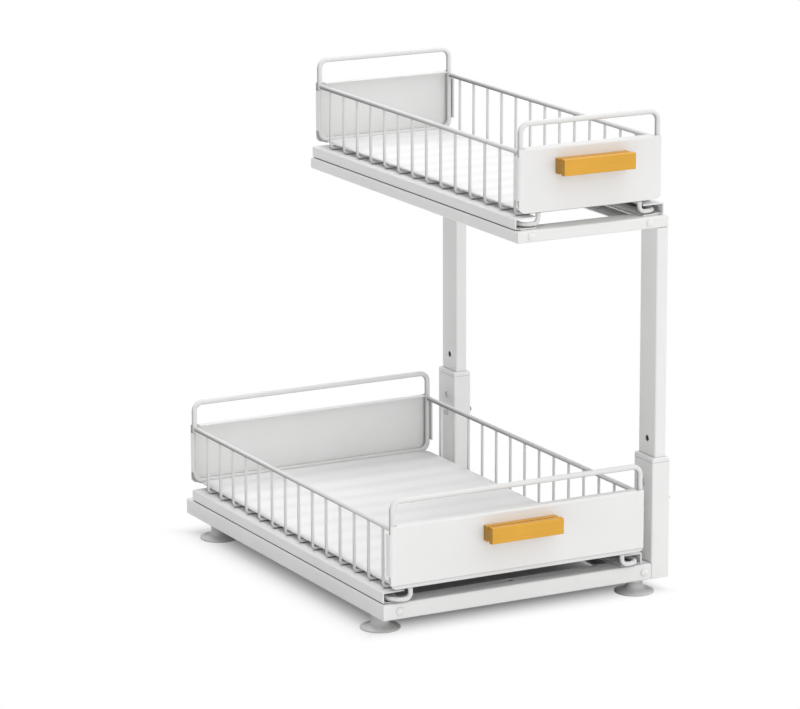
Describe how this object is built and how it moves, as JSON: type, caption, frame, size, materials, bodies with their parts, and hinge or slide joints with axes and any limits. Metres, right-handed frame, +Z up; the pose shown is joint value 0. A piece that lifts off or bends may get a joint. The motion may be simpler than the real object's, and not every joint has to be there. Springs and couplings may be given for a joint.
{
  "type": "under sink organizer",
  "caption": "Two-tier pull-out wire basket organizer on a steel frame with telescopic side posts, wire runners in C rails, plastic floor liners, gold grips and suction feet.",
  "frame": {"origin": "middle of the overall box, on the plane that the feet stand on", "axes": "+Z up; -Y is the front, where the grips are and where the baskets pull out; +X is the side with the posts"},
  "size_m": [0.337, 0.4662, 0.4862],
  "materials": {
    "white_sheet": "satin white powder coat on folded sheet",
    "white_wire": "satin white powder coat on wire",
    "gold_grip": "satin gold anodised",
    "liner_plastic": "matte white with fine ridges",
    "foot_rubber": "soft satin white",
    "collar_plastic": "satin white",
    "fastener_steel": "white lacquered steel"
  },
  "bodies": {
    "frame": {"base_front_bar": "white_sheet", "base_left_beam": "white_sheet", "base_left_rail": "white_sheet", "base_rear_bar": "white_sheet", "base_right_beam": "white_sheet", "base_right_rail": "white_sheet", "base_screws": "fastener_steel", "foot_bolts": "fastener_steel", "foot_front_left": "foot_rubber", "foot_front_right": "foot_rubber", "foot_rear_left": "foot_rubber", "foot_rear_right": "foot_rubber", "front_inner_post": "white_sheet", "front_outer_post": "white_sheet", "front_post_collar": "collar_plastic", "post_bolts": "fastener_steel", "post_cap_nuts": "fastener_steel", "rear_inner_post": "white_sheet", "rear_outer_post": "white_sheet", "rear_post_collar": "collar_plastic", "upper_front_bar": "white_sheet", "upper_left_beam": "white_sheet", "upper_left_rail": "white_sheet", "upper_rear_bar": "white_sheet", "upper_right_beam": "white_sheet", "upper_right_rail": "white_sheet", "upper_screws": "fastener_steel"},
    "lower_basket": {"lower_basket_cross_wires": "white_wire", "lower_basket_floor_wires": "white_wire", "lower_basket_front_loop": "white_wire", "lower_basket_front_panel": "white_sheet", "lower_basket_handle": "gold_grip", "lower_basket_handle_screws": "fastener_steel", "lower_basket_left_runner": "white_wire", "lower_basket_left_top_wire": "white_wire", "lower_basket_liner": "liner_plastic", "lower_basket_rear_loop": "white_wire", "lower_basket_rear_panel": "white_sheet", "lower_basket_right_runner": "white_wire", "lower_basket_right_top_wire": "white_wire"},
    "upper_basket": {"upper_basket_cross_wires": "white_wire", "upper_basket_floor_wires": "white_wire", "upper_basket_front_loop": "white_wire", "upper_basket_front_panel": "white_sheet", "upper_basket_handle": "gold_grip", "upper_basket_handle_screws": "fastener_steel", "upper_basket_left_runner": "white_wire", "upper_basket_left_top_wire": "white_wire", "upper_basket_liner": "liner_plastic", "upper_basket_rear_loop": "white_wire", "upper_basket_rear_panel": "white_sheet", "upper_basket_right_runner": "white_wire", "upper_basket_right_top_wire": "white_wire"}
  },
  "joints": [
    {"name": "lower_basket_slide", "type": "slide", "parent": "frame", "child": "lower_basket", "axis": [0, -1, 0], "range_m": [0, 0.3]},
    {"name": "upper_basket_slide", "type": "slide", "parent": "frame", "child": "upper_basket", "axis": [0, -1, 0], "range_m": [0, 0.3]}
  ]
}
